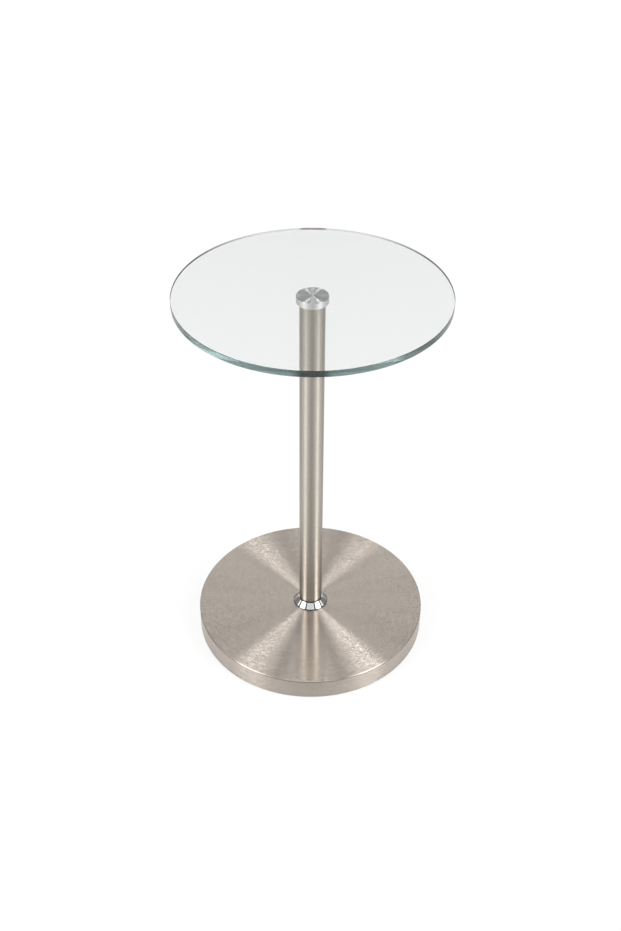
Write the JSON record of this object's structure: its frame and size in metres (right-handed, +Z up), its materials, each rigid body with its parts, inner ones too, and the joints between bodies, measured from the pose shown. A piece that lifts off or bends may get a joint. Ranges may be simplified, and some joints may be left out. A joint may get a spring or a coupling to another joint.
{
  "type": "side table",
  "caption": "Round side table: a clear glass disc bonded to a turned disc on one upright brushed tube, with a plated collar and a weighted round base.",
  "frame": {"origin": "on the floor at the pole's axis, the bottom centre of the whole table", "axes": "+Z up along the pole; +X and +Y are level and alike, because the table is round"},
  "size_m": [0.4063, 0.4064, 0.642],
  "materials": {
    "clear_glass": "clear tempered glass with a polished green edge",
    "clear_glue": "clear cured glue",
    "turned_aluminium": "bright turned face and edge",
    "brushed_tube": "brushed round the tube, satin nickel tone",
    "chrome_plate": "mirror polished plate",
    "brushed_cover": "brushed in circles, satin nickel tone",
    "plain_steel": "bare turned steel",
    "zinc_steel": "bright zinc plate",
    "cast_stone": "rough grey cast cement",
    "black_paint": "matte black powder coat",
    "pad_rubber": "matte black foam rubber"
  },
  "bodies": {
    "root": {"glass_top": "clear_glass", "bond_film": "clear_glue", "glass_disc": "turned_aluminium", "disc_stud": "zinc_steel", "pole_top_plug": "plain_steel", "pole_tube": "brushed_tube", "pole_bottom_plug": "plain_steel", "base_collar": "chrome_plate", "base_cover": "brushed_cover", "load_plate": "plain_steel", "ballast": "cast_stone", "flat_washer": "zinc_steel", "spring_washer": "zinc_steel", "base_bolt": "zinc_steel", "bottom_plate": "black_paint", "foot_pad_1": "pad_rubber", "foot_pad_2": "pad_rubber", "foot_pad_3": "pad_rubber", "foot_pad_4": "pad_rubber", "foot_pad_5": "pad_rubber", "foot_pad_6": "pad_rubber"}
  },
  "joints": []
}
